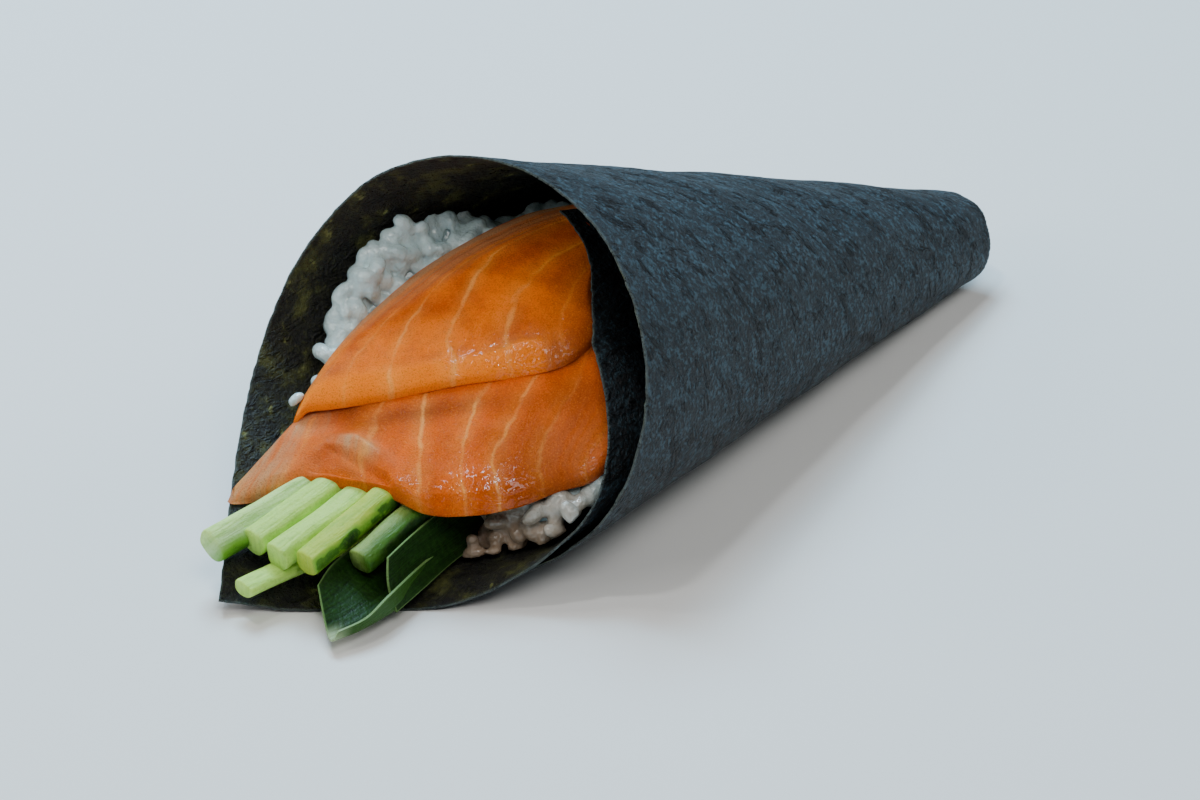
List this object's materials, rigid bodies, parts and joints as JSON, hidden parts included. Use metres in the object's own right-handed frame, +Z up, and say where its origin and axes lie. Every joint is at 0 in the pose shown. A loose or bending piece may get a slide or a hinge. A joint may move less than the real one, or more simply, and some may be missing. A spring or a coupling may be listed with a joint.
{
  "type": "temaki hand roll",
  "caption": "Hand roll lying on its side: a half sheet of nori wound into a cone round rice, salmon slices, cucumber sticks and green leaves.",
  "frame": {"origin": "middle of the object's box, on the surface that the roll lies on", "axes": "+Z up, -Y out of the open mouth, +Y to the tip, +X to the side where the outer turn ends its rim"},
  "size_m": [0.0646, 0.1544, 0.0543],
  "materials": {
    "nori": "satin, fine fibrous wrinkles",
    "rice": "moist, slightly translucent",
    "salmon": "wet gloss, pale fat lines",
    "cucumber": "moist, dark green skin on one side",
    "leaf": "satin"
  },
  "bodies": {
    "root": {"nori": "nori", "rice": "rice", "salmon_upper": "salmon", "salmon_lower": "salmon", "cucumber_1": "cucumber", "cucumber_2": "cucumber", "cucumber_3": "cucumber", "cucumber_4": "cucumber", "cucumber_5": "cucumber", "cucumber_6": "cucumber", "leaf_left": "leaf", "leaf_right": "leaf"}
  },
  "joints": []
}
